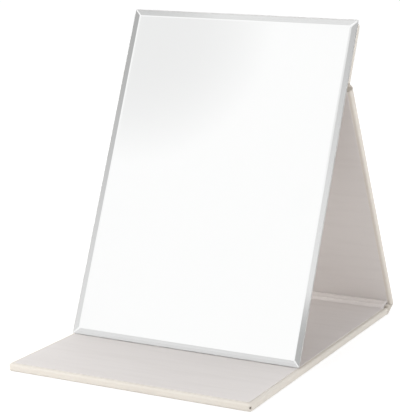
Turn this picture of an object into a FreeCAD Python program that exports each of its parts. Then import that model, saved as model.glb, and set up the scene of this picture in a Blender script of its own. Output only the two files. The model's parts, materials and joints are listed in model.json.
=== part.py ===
import FreeCAD, Part
import math
import os

# Folding table mirror: a bevelled glass in a book-style leatherette cover, standing open as a triangle.
# Frame: +Z up, the glass faces -Y, +X to the right of the glass.
# The origin is under the middle of the footprint.

# Glass and what backs it
GLASS_WIDTH = 180.0
GLASS_HEIGHT = 252.0
GLASS_THICKNESS = 2.0
BEVEL_WIDTH = 5.0
BEVEL_DROP = 1.2
FILM_THICKNESS = 0.15
FILM_INSET = 0.4
TAPE_THICKNESS = 0.25
TAPE_INSET = 8.0
TAPE_HEIGHT = 24.0
TAPE_COUNT = 3
CARD_THICKNESS = 0.6
WRAP_THICKNESS = 0.4
WRAP_INSET = 1.0

# Layers of a stiff cover panel, from its outer face inwards
SKIN_THICKNESS = 0.8
BOARD_THICKNESS = 3.8
LINING_THICKNESS = 0.4
TURN_IN = 14.0
LINING_INSET = 3.0
BOARD_CORNER_RADIUS = 1.6
EDGE_RADIUS = 1.8

# Cover outline and stance
SIDE_MARGIN = 1.5
BASE_FRONT = 84.0
BASE_REAR = 192.0
MIRROR_LEAN = 22.0
STRIP_HEIGHT = 46.0
STRIP_TOP_INSET = 1.0
STRIP_SIDE_INSET = 1.5
FOOT_CLEARANCE = 0.15
SEAT_CLEARANCE = 0.2

# Folds
SPINE_WIDTH = 13.5
SPINE_ANGLE = 24.0
SPINE_BOARD_THICKNESS = 1.2
SPINE_BOARD_MARGIN = 3.2
SPINE_BOARD_INSET = 4.0
FOLD_SIDE_INSET = 0.6
BASE_SETBACK = 2.5
BACK_SETBACK = 3.0
TOP_SETBACK = 1.4
TOP_BEAD_RADIUS = 0.65
BEAD_CLEARANCE = 0.05

# Soft lining over the rear fold
FOLD_LINING_THICKNESS = 0.5
FOLD_LINING_REACH = 1.5
FOLD_LINING_MARGIN = 3.0
FOLD_LINING_LAP = 0.5
FOLD_RIDGE_RISE = 1.2

# Distance below which two drawn positions are the same
SAME_PLACE = 1e-6

# Sizes that follow from the ones above
COVER_WIDTH = GLASS_WIDTH + 2 * SIDE_MARGIN
FOLD_WIDTH = COVER_WIDTH - 2 * FOLD_SIDE_INSET
STRIP_WIDTH = GLASS_WIDTH - 2 * STRIP_SIDE_INSET
SKIN_CORNER_RADIUS = BOARD_CORNER_RADIUS + SKIN_THICKNESS
BOARD_TOP = SKIN_THICKNESS + BOARD_THICKNESS
WALL_TOP = BOARD_TOP + SKIN_THICKNESS
PANEL_THICKNESS = WALL_TOP + LINING_THICKNESS
BOND_THICKNESS = LINING_THICKNESS + SEAT_CLEARANCE
BASE_LENGTH = BASE_FRONT + BASE_REAR
HINGE_HEIGHT = GLASS_HEIGHT - STRIP_TOP_INSET - STRIP_HEIGHT
CARD_TOP = WRAP_THICKNESS + CARD_THICKNESS
TAPE_TOP = CARD_TOP + TAPE_THICKNESS
FILM_TOP = TAPE_TOP + FILM_THICKNESS
MIRROR_THICKNESS = FILM_TOP + GLASS_THICKNESS


class SideFrame:
    """A panel's own axes in the side view: along the panel, and from its outer face inwards."""

    def __init__(self, y, z, angle):
        self.y = y
        self.z = z
        self.angle = angle

    @classmethod
    def about(cls, pivot, along, inward, angle):
        """The frame at this angle whose point (along, inward) lies on the pivot."""
        turned = cls(0.0, 0.0, angle).point(along, inward)
        return cls(pivot[0] - turned[0], pivot[1] - turned[1], angle)

    def point(self, along, inward):
        """World (y, z) of a point of the panel."""
        cosine = math.cos(math.radians(self.angle))
        sine = math.sin(math.radians(self.angle))
        return (self.y + along * cosine - inward * sine, self.z + along * sine + inward * cosine)

    def place(self, shape):
        """The shape, drawn in the panel's own axes, set at its place in the object."""
        turn = FreeCAD.Rotation(FreeCAD.Vector(1, 0, 0), self.angle)
        placed = shape.copy()
        seat = FreeCAD.Placement(FreeCAD.Vector(0, self.y, self.z), turn)
        placed.Placement = seat.multiply(shape.Placement)
        return placed


class Stance:
    """Where each panel and each fold lies while the mirror stands open."""

    def __init__(self):
        rear_fold = (BASE_REAR, SKIN_THICKNESS)
        spine = SideFrame.about(rear_fold, 0.0, SKIN_THICKNESS, SPINE_ANGLE)
        rear_end = spine.point(SPINE_WIDTH, SKIN_THICKNESS)[0] + SKIN_THICKNESS
        middle = (rear_end - BASE_FRONT) / 2

        self.base = SideFrame(-BASE_FRONT - middle, 0.0, 0.0)
        self.lower_fold = self.base.point(BASE_LENGTH, SKIN_THICKNESS)
        self.spine = SideFrame.about(self.lower_fold, 0.0, SKIN_THICKNESS, SPINE_ANGLE)
        self.upper_fold = self.spine.point(SPINE_WIDTH, SKIN_THICKNESS)

        self.mirror = self.mirror_frame(-middle)
        strip_face = -BOND_THICKNESS - WALL_TOP
        strip_foot = self.mirror.point(HINGE_HEIGHT, strip_face)
        self.strip = SideFrame.about(strip_foot, 0.0, 0.0, self.mirror.angle)
        self.top_fold = self.strip.point(0.0, SKIN_THICKNESS / 2)

        rise = self.top_fold[1] - self.upper_fold[1]
        run = self.top_fold[0] - self.upper_fold[0]
        step = SKIN_THICKNESS / 2
        self.back_length = math.sqrt(rise ** 2 + run ** 2 - step ** 2)
        back_angle = math.degrees(math.atan2(rise, run) + math.atan2(step, self.back_length))
        self.back = SideFrame.about(self.upper_fold, 0.0, SKIN_THICKNESS, back_angle)

    @staticmethod
    def mirror_frame(foot_y):
        """The mirror leans back with its lowest edge just over the base lining."""
        angle = 90.0 - MIRROR_LEAN
        level = SideFrame(0.0, 0.0, angle)
        glass_edge = level.point(0.0, FILM_TOP)[1]
        wrap_edge = level.point(WRAP_INSET, 0.0)[1]
        lowest = min(glass_edge, wrap_edge)
        face_edge = level.point(0.0, MIRROR_THICKNESS)[0]
        return SideFrame(foot_y - face_edge, PANEL_THICKNESS + FOOT_CLEARANCE - lowest, angle)


def slab(width, start, end, low, high):
    """A plain plate, centred across, from start to end along the panel and from low to high inwards."""
    return Part.makeBox(width, end - start, high - low, FreeCAD.Vector(-width / 2, start, low))


def is_near(a, b):
    return abs(a - b) < SAME_PLACE


def plate(width, start, end, low, high, start_radius, end_radius):
    """A slab whose corners are rounded in plan: start_radius at its start, end_radius at its end."""
    shape = slab(width, start, end, low, high)
    for place, radius in ((start, start_radius), (end, end_radius)):
        if radius > 0:
            corners = [edge for edge in shape.Edges
                       if is_near(edge.BoundBox.YMin, place) and is_near(edge.BoundBox.YMax, place)
                       and edge.BoundBox.ZLength > (high - low) / 2]
            shape = shape.makeFillet(radius, corners)
    return shape


def ease_outline(block, low, high, open_ends):
    """Round the outline edges of a wrapped block, apart from the ends where a fold leaves it."""
    def at_open_end(edge):
        box = edge.BoundBox
        return any(is_near(box.YMin, end) and is_near(box.YMax, end) for end in open_ends)

    outline = [edge for edge in block.Edges
               if is_near(edge.BoundBox.ZLength, 0.0)
               and (is_near(edge.BoundBox.ZMin, low) or is_near(edge.BoundBox.ZMin, high))
               and not at_open_end(edge)]
    return block.makeFillet(EDGE_RADIUS, outline)


def bead(radius, along, inward):
    """A round bar across the panel on a fold's axis."""
    start = FreeCAD.Vector(-FOLD_WIDTH / 2, along, inward)
    return Part.makeCylinder(radius, FOLD_WIDTH, start, FreeCAD.Vector(1, 0, 0))


def socket(radius, along, inward):
    """The clearance cut, wider than the panel, in which a fold's bead turns."""
    start = FreeCAD.Vector(-COVER_WIDTH, along, inward)
    return Part.makeCylinder(radius + BEAD_CLEARANCE, 2 * COVER_WIDTH, start, FreeCAD.Vector(1, 0, 0))


def tongue(width, start, end):
    """The single layer of skin that runs from a panel to its fold."""
    return slab(width - 2 * FOLD_SIDE_INSET, start, end, 0.0, SKIN_THICKNESS)


class Panel:
    """A stiff cover panel: a board in a wrapped skin, an infill level with the turn-in, a lining."""

    def __init__(self, width, start, end, start_wrapped, end_wrapped):
        self.width = width
        self.start = start
        self.end = end
        self.start_wrapped = start_wrapped
        self.end_wrapped = end_wrapped

    def layer(self, inset, low, high, radius):
        """A layer of the panel, drawn in by inset from its sides and from its wrapped ends."""
        start = self.start + inset * self.start_wrapped
        end = self.end - inset * self.end_wrapped
        return plate(self.width - 2 * inset, start, end, low, high,
                     radius * self.start_wrapped, radius * self.end_wrapped)

    def board(self):
        return self.layer(SKIN_THICKNESS, SKIN_THICKNESS, BOARD_TOP, BOARD_CORNER_RADIUS)

    def infill(self):
        return self.layer(TURN_IN, BOARD_TOP, WALL_TOP, 0.0)

    def lining(self):
        return self.layer(LINING_INSET, WALL_TOP, PANEL_THICKNESS, BOARD_CORNER_RADIUS)

    def skin(self):
        """The outer skin with its walls round the board and its turned-in margin."""
        block = self.layer(0.0, 0.0, WALL_TOP, SKIN_CORNER_RADIUS)
        ends = ((self.start, self.start_wrapped), (self.end, self.end_wrapped))
        open_ends = [end for end, wrapped in ends if not wrapped]
        block = ease_outline(block, 0.0, WALL_TOP, open_ends)
        return block.cut(self.board()).cut(self.infill())


def mirror_nodes(frame):
    """The glass with its silvering, the tapes, the backing card and its wrap."""
    def sheet(inset, low, high):
        return slab(GLASS_WIDTH - 2 * inset, inset, GLASS_HEIGHT - inset, low, high)

    def outline(inset, level):
        half = GLASS_WIDTH / 2 - inset
        top = GLASS_HEIGHT - inset
        corners = [(-half, inset), (half, inset), (half, top), (-half, top)]
        return Part.makePolygon([FreeCAD.Vector(x, y, level) for x, y in corners + corners[:1]])

    bevel_foot = MIRROR_THICKNESS - BEVEL_DROP
    body = sheet(0.0, FILM_TOP, bevel_foot)
    bevel = Part.makeLoft([outline(0.0, bevel_foot), outline(BEVEL_WIDTH, MIRROR_THICKNESS)], True, True)
    glass = body.fuse(bevel).removeSplitter()

    tape_pitch = (GLASS_HEIGHT - 2 * TAPE_INSET - TAPE_HEIGHT) / (TAPE_COUNT - 1)
    tape_starts = [TAPE_INSET + tape_pitch * index for index in range(TAPE_COUNT)]
    tape_width = GLASS_WIDTH - 2 * TAPE_INSET
    tapes = Part.makeCompound([slab(tape_width, start, start + TAPE_HEIGHT, CARD_TOP, TAPE_TOP)
                               for start in tape_starts])

    card = sheet(WRAP_INSET + WRAP_THICKNESS, WRAP_THICKNESS, CARD_TOP)
    wrap = sheet(WRAP_INSET, 0.0, CARD_TOP).cut(card)

    nodes = {
        "mirror_glass": glass,
        "mirror_silvering": sheet(FILM_INSET, TAPE_TOP, FILM_TOP),
        "mirror_tapes": tapes,
        "mirror_back_card": card,
        "mirror_back_wrap": wrap,
    }
    return {name: frame.place(shape) for name, shape in nodes.items()}


def strip_nodes(frame):
    """The strip of cover bonded to the upper part of the mirror's back."""
    panel = Panel(STRIP_WIDTH, TOP_SETBACK, STRIP_HEIGHT, False, True)
    seat = socket(TOP_BEAD_RADIUS, 0.0, SKIN_THICKNESS / 2)
    bond = slab(GLASS_WIDTH - 2 * TAPE_INSET, TOP_SETBACK, STRIP_HEIGHT - LINING_INSET,
                WALL_TOP, WALL_TOP + BOND_THICKNESS)
    nodes = {
        "strip_board": panel.board(),
        "strip_skin": panel.skin().fuse(tongue(STRIP_WIDTH, 0.0, TOP_SETBACK)).cut(seat).removeSplitter(),
        "strip_infill": panel.infill(),
        "strip_bond_tape": bond,
    }
    return {name: frame.place(shape) for name, shape in nodes.items()}


def back_nodes(frame, length):
    """The panel that props the mirror from behind, between the spine and the top fold."""
    panel = Panel(COVER_WIDTH, BACK_SETBACK, length - TOP_SETBACK, False, False)
    lower_seat = socket(SKIN_THICKNESS, 0.0, SKIN_THICKNESS)
    upper_bead = bead(TOP_BEAD_RADIUS, length, SKIN_THICKNESS / 2)
    tongues = [tongue(COVER_WIDTH, 0.0, BACK_SETBACK), tongue(COVER_WIDTH, length - TOP_SETBACK, length)]
    skin = panel.skin().fuse(tongues + [upper_bead])
    nodes = {
        "back_board": panel.board(),
        "back_skin": skin.cut(lower_seat).removeSplitter(),
        "back_infill": panel.infill(),
        "back_lining": panel.lining(),
    }
    return {name: frame.place(shape) for name, shape in nodes.items()}


def spine_nodes(frame):
    """The narrow spine between the two rear folds, with a rolled bead of skin on each fold's axis."""
    beads = [bead(SKIN_THICKNESS, along, SKIN_THICKNESS) for along in (0.0, SPINE_WIDTH)]
    board_width = COVER_WIDTH - 2 * SPINE_BOARD_INSET
    board_end = SPINE_WIDTH - SPINE_BOARD_MARGIN
    board = slab(board_width, SPINE_BOARD_MARGIN, board_end,
                 SKIN_THICKNESS, SKIN_THICKNESS + SPINE_BOARD_THICKNESS)
    nodes = {
        "spine_skin": tongue(COVER_WIDTH, 0.0, SPINE_WIDTH).fuse(beads).removeSplitter(),
        "spine_board": board,
    }
    return {name: frame.place(shape) for name, shape in nodes.items()}


def base_nodes(frame):
    """The front cover, which lies on the table as the base."""
    board_end = BASE_LENGTH - BASE_SETBACK
    panel = Panel(COVER_WIDTH, 0.0, board_end, True, False)
    seat = socket(SKIN_THICKNESS, BASE_LENGTH, SKIN_THICKNESS)
    lip = tongue(COVER_WIDTH, board_end, BASE_LENGTH)
    nodes = {
        "base_board": panel.board(),
        "base_skin": panel.skin().fuse(lip).cut(seat).removeSplitter(),
        "base_infill": panel.infill(),
        "base_lining": panel.lining(),
    }
    return {name: frame.place(shape) for name, shape in nodes.items()}


def fold_lining(stance):
    """Lining that bridges the rear fold: a flat margin on each panel, two soft ridges between."""
    def on_base(along, lift):
        point = stance.base.point(BASE_LENGTH - BASE_SETBACK - along, PANEL_THICKNESS + lift)
        return FreeCAD.Vector(0, point[0], point[1])

    def on_back(along, lift):
        point = stance.back.point(BACK_SETBACK + along, PANEL_THICKNESS + lift)
        return FreeCAD.Vector(0, point[0], point[1])

    def ridge(start, end):
        """An arc from start to end that swells away from the fold."""
        crest = (start + end) * 0.5 + swell * FOLD_RIDGE_RISE
        return Part.Arc(start, crest, end).toShape()

    thick = FOLD_LINING_THICKNESS
    reach = FOLD_LINING_REACH
    margin = reach + FOLD_LINING_MARGIN
    chord = on_back(reach, 0.0) - on_base(reach, 0.0)
    swell = FreeCAD.Vector(0, -chord.z, chord.y).normalize()
    valley = on_base(reach, 0.0) + chord * 0.5 + swell * thick
    under = [on_base(margin, thick), on_base(margin, 0.0), on_base(reach, 0.0),
             on_back(reach, 0.0), on_back(margin, 0.0), on_back(margin, thick)]
    lower = on_base(reach + thick, thick)
    upper = on_back(reach + thick + FOLD_LINING_LAP, thick)
    edges = [Part.LineSegment(a, b).toShape() for a, b in zip(under, under[1:])]
    edges.append(Part.LineSegment(under[-1], upper).toShape())
    edges.append(ridge(valley, upper))
    edges.append(ridge(lower, valley))
    edges.append(Part.LineSegment(lower, under[0]).toShape())
    width = COVER_WIDTH - 2 * LINING_INSET
    section = Part.Face(Part.Wire(edges))
    section.translate(FreeCAD.Vector(-width / 2, 0, 0))
    return section.extrude(FreeCAD.Vector(width, 0, 0))


def build():
    """Every piece of the object by its node's name, in place."""
    stance = Stance()
    nodes = {}
    nodes.update(base_nodes(stance.base))
    nodes.update(spine_nodes(stance.spine))
    nodes.update(back_nodes(stance.back, stance.back_length))
    nodes.update(strip_nodes(stance.strip))
    nodes.update(mirror_nodes(stance.mirror))
    nodes["fold_lining"] = fold_lining(stance)
    return nodes


def main():
    os.makedirs("parts", exist_ok=True)
    for name, shape in build().items():
        shape.exportStep("parts/" + name + ".step")
        volume = round(shape.Volume, 1)
        print(name, "solids", len(shape.Solids), "volume", volume, "valid", shape.isValid())


if __name__ == "__main__":
    main()
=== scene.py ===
"""Looks of a folding table mirror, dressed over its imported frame.

A bevelled glass stands in a book-style leatherette cover. The cover's front panel lies on the table as
the base, a narrow spine and the back panel prop the glass from behind, and a strip of the cover is
bonded to the upper part of the mirror's back.
"""
import json
import logging
import math
from dataclasses import dataclass
from enum import Enum

import bmesh
import bpy
import numpy as np
from mathutils import Matrix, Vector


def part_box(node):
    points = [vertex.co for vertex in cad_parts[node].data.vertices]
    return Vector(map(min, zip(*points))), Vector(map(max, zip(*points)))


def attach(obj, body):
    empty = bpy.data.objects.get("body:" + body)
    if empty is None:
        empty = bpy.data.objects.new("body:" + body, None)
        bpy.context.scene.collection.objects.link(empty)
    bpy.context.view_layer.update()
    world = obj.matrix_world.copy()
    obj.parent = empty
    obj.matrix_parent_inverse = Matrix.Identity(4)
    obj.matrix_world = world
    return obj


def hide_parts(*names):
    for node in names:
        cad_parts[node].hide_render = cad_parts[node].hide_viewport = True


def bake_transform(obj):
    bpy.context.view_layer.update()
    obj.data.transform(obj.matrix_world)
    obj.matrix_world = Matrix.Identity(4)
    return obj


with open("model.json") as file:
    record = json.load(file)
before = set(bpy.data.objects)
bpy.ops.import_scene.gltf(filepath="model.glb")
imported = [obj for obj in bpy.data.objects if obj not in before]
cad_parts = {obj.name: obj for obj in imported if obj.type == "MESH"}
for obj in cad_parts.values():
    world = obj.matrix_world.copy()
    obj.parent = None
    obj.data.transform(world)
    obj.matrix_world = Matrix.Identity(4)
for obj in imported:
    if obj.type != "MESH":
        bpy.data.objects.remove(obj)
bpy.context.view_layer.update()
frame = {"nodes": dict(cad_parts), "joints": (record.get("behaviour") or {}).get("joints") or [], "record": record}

MM = 0.001
MERGE_DISTANCE = 1e-6
EDGE_MARK = "edge"
SHEET_WAVES = ((61.0, 0.7, 47.0, 1.9), (113.0, 2.3, 89.0, 0.4))
SLANTED_WAVE = (173.0, 1.1)
SKIN_COLUMNS = 60
BAR_ROWS = 61
BAR_RUB_FROM = 0.96
ROLL_POINTS = 25
ROLL_FULLNESS = 60
Array = np.ndarray
Pair = tuple[float, float]
Point = tuple[float, float, float]
Colour = tuple[float, float, float, float]
Socket = bpy.types.NodeSocket
Tree = bpy.types.NodeTree
Piece = bpy.types.Object
WHITE: Colour = (1.0, 1.0, 1.0, 1.0)
BLACK: Colour = (0.0, 0.0, 0.0, 1.0)
LOG = logging.getLogger("folding_mirror")


class Body(Enum):
    """Rigid bodies of the frame that carry the pieces."""

    BASE = "base"
    SPINE = "spine"
    BACK = "back"
    MIRROR = "mirror"


class Slot(Enum):
    """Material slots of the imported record."""

    LEATHERETTE = "leatherette"
    LINING = "lining"
    GREYBOARD = "greyboard"
    INFILL_CARD = "infill_card"
    TAPE = "tape"
    GLASS = "glass"
    SILVERING = "silvering"
    BACKING_WRAP = "backing_wrap"


class Fold(Enum):
    """Joints of the frame, each one a fold of the cover."""

    TILT = "tilt_fold"
    STAND = "stand_fold"
    TOP = "top_fold"

    def axis(self) -> Array:
        """Returns the (y, z) place of the fold's axis in the side view, in metres."""
        joint = next(item for item in frame["joints"] if item["name"] == self.value)
        return np.array(joint["pos_m"][1:], float)


@dataclass(frozen=True)
class PlateFrame:
    """Axes of a flat piece in the side view: along it, and from its outer face inwards."""

    origin: Array
    along: Array
    inward: Array
    length: float
    thickness: float
    width: float

    @classmethod
    def of_node(cls, node: str, along: Pair, inward: Pair) -> "PlateFrame":
        """Read a plate's axes from its node: its largest face looks straight across the plate.

        Args:
            node: name of a flat node of the frame.
            along: rough (y, z) direction in which the plate is measured.
            inward: rough (y, z) direction from its outer to its inner face.

        Returns:
            The frame whose origin is the start of the outer face.
        """
        mesh = frame["nodes"][node].data
        flat = np.empty(len(mesh.vertices) * 3, np.float32)
        mesh.vertices.foreach_get("co", flat)
        points = flat.reshape(-1, 3).astype(float)
        side = points[:, 1:]
        normal = np.array(max(mesh.polygons, key=lambda face: face.area).normal)[1:]
        across = normal / np.linalg.norm(normal) * np.sign(normal @ np.array(inward))
        long_way = np.array([-across[1], across[0]])
        long_way = long_way * np.sign(long_way @ np.array(along))
        runs = side @ long_way
        depths = side @ across
        origin = long_way * runs.min() + across * depths.min()
        spans = (float(np.ptp(values)) for values in (runs, depths, points[:, 0]))
        return cls(origin, long_way, across, *spans)

    def side(self, along: Array | float, inward: Array | float) -> Array:
        """Returns the (y, z) of points given by their distances along the plate and inwards."""
        return self.origin + np.multiply.outer(along, self.along) + np.multiply.outer(inward, self.inward)

    def place(self, local: Array) -> Array:
        """Carry the plate's own points into the world.

        Args:
            local: array of (x, along, inward) points.

        Returns:
            The world points, in an array of the same shape.
        """
        placed = np.empty_like(local)
        placed[..., 0] = local[..., 0]
        placed[..., 1:] = self.side(local[..., 1], local[..., 2])
        return placed


def smoothstep(low: float, high: float, value: Array) -> Array:
    """Returns 0 below low, 1 above high and 3t^2 - 2t^3 between them."""
    share = np.clip((value - low) / (high - low), 0.0, 1.0)
    return share * share * (3.0 - 2.0 * share)


def grid_faces(rows: int, columns: int) -> Array:
    """The quads of a grid of points that is stored row by row.

    Args:
        rows: points down the grid.
        columns: points across it.

    Returns:
        (m, 4) indices of the quads' corners.
    """
    index = np.arange(rows * columns).reshape(rows, columns)
    corners = [index[:-1, :-1], index[1:, :-1], index[1:, 1:], index[:-1, 1:]]
    return np.stack(corners, -1).reshape(-1, 4)


def put_mesh(name: str, points: Array, faces: Array, outward: Array | None = None,
             edge: Array | None = None, sharp_deg: float = 40.0) -> Piece:
    """Make an object from arrays, with its faces turned outwards.

    Args:
        name: the piece's name.
        points: (n, 3) world points in metres.
        faces: (m, 4) corner indices.
        outward: direction in which an open sheet's largest face looks; a closed piece has none.
        edge: closeness of each point to a worn edge, from 0 to 1; on the fold lining's ridge crests it carries
            painted highlight as well.
        sharp_deg: angle above which an edge is shaded sharp.

    Returns:
        The new object, linked to the scene, at the origin.
    """
    mesh = bpy.data.meshes.new(name)
    mesh.from_pydata(points.tolist(), [], faces.tolist())
    layer = mesh.attributes.new(EDGE_MARK, "FLOAT", "POINT")
    marks = np.zeros(len(points)) if edge is None else edge
    layer.data.foreach_set("value", marks.astype(np.float32))
    shape = bmesh.new()
    shape.from_mesh(mesh)
    bmesh.ops.remove_doubles(shape, verts=shape.verts, dist=MERGE_DISTANCE)
    bmesh.ops.recalc_face_normals(shape, faces=shape.faces)
    largest = max(shape.faces, key=lambda face: face.calc_area())
    if outward is not None and np.array(largest.normal) @ outward < 0:
        bmesh.ops.reverse_faces(shape, faces=shape.faces)
    shape.to_mesh(mesh)
    shape.free()
    mesh.shade_smooth()
    mesh.set_sharp_from_angle(angle=math.radians(sharp_deg))
    mesh.update()
    piece = bpy.data.objects.new(name, mesh)
    bpy.context.scene.collection.objects.link(piece)
    return piece


def thicken(piece: Piece, thickness: float) -> None:
    """Give a sheet its thickness behind the side that its faces look to.

    Args:
        piece: the sheet.
        thickness: its thickness.
    """
    wall = piece.modifiers.new("thickness", "SOLIDIFY")
    wall.thickness = thickness
    wall.offset = -1.0
    wall.use_even_offset = False


def soft_sheet_waves(x: Array, run: Array, height: float) -> Array:
    """The slight unevenness of a glued sheet, height x (1/2 + sum of three waves / 6).

    The waves are sines, two of them crossed, given by their radians per metre and their phases.

    Args:
        x: places across the sheet.
        run: places along it.
        height: height of the waves.

    Returns:
        The unevenness at each place.
    """
    crossed = sum(np.sin(x * wide + shift) * np.sin(run * tall + start)
                  for wide, shift, tall, start in SHEET_WAVES)
    slanted = np.sin((x + run) * SLANTED_WAVE[0] + SLANTED_WAVE[1])
    return height * (0.5 + (crossed + slanted) / 6.0)


def meeting_point(first: Array, along: Array, second: Array, other: Array) -> Array:
    """Returns where the side-view line from first, along its direction, meets the line from second."""
    shares = np.linalg.solve(np.stack([along, -other], 1), second - first)
    return first + along * shares[0]


def rounded_bend(start: Array, corner: Array, end: Array, radius: float, count: int) -> Array:
    """A side-view path from start to end whose corner is an arc tangent to both runs.

    With half the bend h between the runs, the arc begins radius x tan(h) before the corner, and a point of
    it at angle a is centre + radius x (cos(a) x out + sin(a) x onward).

    Args:
        start: first point of the path.
        corner: where its two straight runs would meet.
        end: last point of the path.
        radius: radius of the arc.
        count: points on the arc, and on each run.

    Returns:
        The path as an array of (y, z) points.
    """
    arrive = (corner - start) / np.linalg.norm(corner - start)
    leave = (end - corner) / np.linalg.norm(end - corner)
    bend = math.acos(float(np.clip(arrive @ leave, -1.0, 1.0)))
    setback = radius * math.tan(bend / 2)
    first = corner - arrive * setback
    last = corner + leave * setback
    inside = leave - arrive * (arrive @ leave)
    inside = inside / np.linalg.norm(inside)
    angles = np.linspace(0.0, bend, count)
    arc = first + inside * radius + radius * (
        np.multiply.outer(np.sin(angles), arrive) - np.multiply.outer(np.cos(angles), inside))
    lead = np.linspace(start, first, count)[:-1]
    tail = np.linspace(last, end, count)[1:]
    return np.concatenate([lead, arc, tail])


def carried_sheet(name: str, path: Array, width: float | Array, columns: int, outward: Array,
                  thickness: float, rub_and_highlight: Array | None = None) -> Piece:
    """A sheet made by carrying a side-view path across the object.

    Each point of the path is drawn out to x = s x half the sheet's width there, with s from -1 to 1.

    Args:
        name: the piece's name.
        path: (n, 2) side-view points.
        width: width of the sheet, or its width at each point of the path.
        columns: points across it.
        outward: side-view direction in which the path's face looks.
        thickness: its thickness behind that face.
        rub_and_highlight: closeness of each point of the path to a worn edge, from 0 to 1; along the fold lining's
            ridge crests it is painted highlight as well.

    Returns:
        The piece, with its thickness as a modifier.
    """
    halves = np.broadcast_to(width, len(path)) / 2
    grid = np.empty((len(path), columns, 3))
    grid[..., 0] = np.multiply.outer(halves, np.linspace(-1.0, 1.0, columns))
    grid[..., 1:] = path[:, None, :]
    marks = None if rub_and_highlight is None else np.repeat(rub_and_highlight, columns)
    faces = grid_faces(len(path), columns)
    piece = put_mesh(name, grid.reshape(-1, 3), faces, np.array([0.0, *outward]), marks)
    thicken(piece, thickness)
    return piece


def oval(wide: float, tall: float, power: float, count: int) -> Array:
    """A closed outline: wide |cos a|^power and tall |sin a|^power, with their signs kept.

    Args:
        wide: half its width.
        tall: half its height.
        power: 1 for a true oval; the lower it is, the squarer the outline.
        count: points round it, with the first one again at the end.

    Returns:
        (count, 2) points.
    """
    angles = np.linspace(0.0, 2 * math.pi, count)
    turn = np.stack([np.cos(angles), np.sin(angles)], 1)
    return np.sign(turn) * np.abs(turn) ** power * (wide, tall)


def soft_bar(name: str, centre: Array, section: Array, width: float, fullness: int,
             rub_and_highlight: float = 0.0) -> Piece:
    """A bar across the object whose section draws in at its ends as the root of 1 - s^fullness.

    Here s runs from -1 to 1 across the bar, in steps that grow finer towards its ends.

    Args:
        name: the piece's name.
        centre: side-view point of its middle line.
        section: (n, 2) closed side-view outline round that line.
        width: its length across the object.
        fullness: even power; the higher it is, the closer to the ends the section stays full.
        rub_and_highlight: how worn its ends are, from 0 to 1.

    Returns:
        The closed piece.
    """
    share = np.sin(np.linspace(-math.pi / 2, math.pi / 2, BAR_ROWS))
    taper = np.sqrt(np.clip(1.0 - share ** fullness, 0.0, 1.0))
    bar = np.empty((len(share), len(section), 3))
    bar[..., 0] = (share * width / 2)[:, None]
    bar[..., 1:] = centre + np.multiply.outer(taper, section)
    marks = np.repeat(rub_and_highlight * smoothstep(BAR_RUB_FROM, 1.0, np.abs(share)), len(section))
    return put_mesh(name, bar.reshape(-1, 3), grid_faces(*bar.shape[:2]), edge=marks)


def soft_roll(name: str, centre: Array, radius: float, width: float) -> Piece:
    """Returns a round roll of turned-in sheet across the object."""
    return soft_bar(name, centre, oval(radius, radius, 1.0, ROLL_POINTS), width, ROLL_FULLNESS)


class Shader:
    """A node tree under construction, for a material, a world or a shared group."""

    def __init__(self, tree: Tree) -> None:
        """Start from an empty tree."""
        self.tree = tree
        self.tree.nodes.clear()

    def feed(self, node: bpy.types.Node, inputs: dict) -> None:
        """Set a node's inputs from sockets or plain values.

        Args:
            node: the node.
            inputs: values or sockets by input name or index.
        """
        for key, value in inputs.items():
            if isinstance(value, Socket):
                self.tree.links.new(value, node.inputs[key])
            else:
                node.inputs[key].default_value = value

    def add(self, kind: str, inputs: dict | None = None, **settings: object) -> bpy.types.Node:
        """Add a node.

        Args:
            kind: Blender's name for the node's type.
            inputs: values or sockets by input name or index.
            settings: the node's own properties.

        Returns:
            The new node.
        """
        node = self.tree.nodes.new(kind)
        for name, value in settings.items():
            setattr(node, name, value)
        self.feed(node, inputs or {})
        return node

    def math(self, operation: str, first: object, second: object = 0.0, third: object = 0.0) -> Socket:
        """Returns the result of a math node on values or sockets."""
        inputs = {0: first, 1: second, 2: third}
        return self.add("ShaderNodeMath", inputs, operation=operation).outputs[0]

    def vector(self, operation: str, inputs: dict, output: str = "Vector") -> Socket:
        """Returns an output of a vector math node."""
        return self.add("ShaderNodeVectorMath", inputs, operation=operation).outputs[output]

    def spread(self, value: object, low: float, high: float, to_low: float = 0.0,
               to_high: float = 1.0) -> Socket:
        """Returns a value carried smoothly from the range low..high to the range to_low..to_high."""
        inputs = {"Value": value, "From Min": low, "From Max": high, "To Min": to_low, "To Max": to_high}
        return self.add("ShaderNodeMapRange", inputs, interpolation_type="SMOOTHSTEP").outputs["Result"]

    def mix(self, share: object, first: object, second: object) -> Socket:
        """Returns a mix of two colours, which are inputs 6 and 7 and output 2 of a mix node."""
        inputs = {0: share, 6: first, 7: second}
        return self.add("ShaderNodeMix", inputs, data_type="RGBA").outputs[2]

    def noise(self, vector: object, scale: object, detail: float, roughness: float = 0.5) -> Socket:
        """Returns the value of a noise texture."""
        inputs = {"Vector": vector, "Scale": scale, "Detail": detail, "Roughness": roughness}
        return self.add("ShaderNodeTexNoise", inputs).outputs[0]

    def edge_mark(self) -> Socket:
        """Returns the mesh's own mark of closeness to a worn edge, which on the fold lining's ridge crests marks
        painted highlight as well.
        """
        return self.add("ShaderNodeAttribute", attribute_name=EDGE_MARK).outputs["Fac"]

    def group(self, tree: Tree, inputs: dict) -> bpy.types.Node:
        """Returns a node that places a shared group with its own values."""
        return self.add("ShaderNodeGroup", inputs, node_tree=tree)


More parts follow.
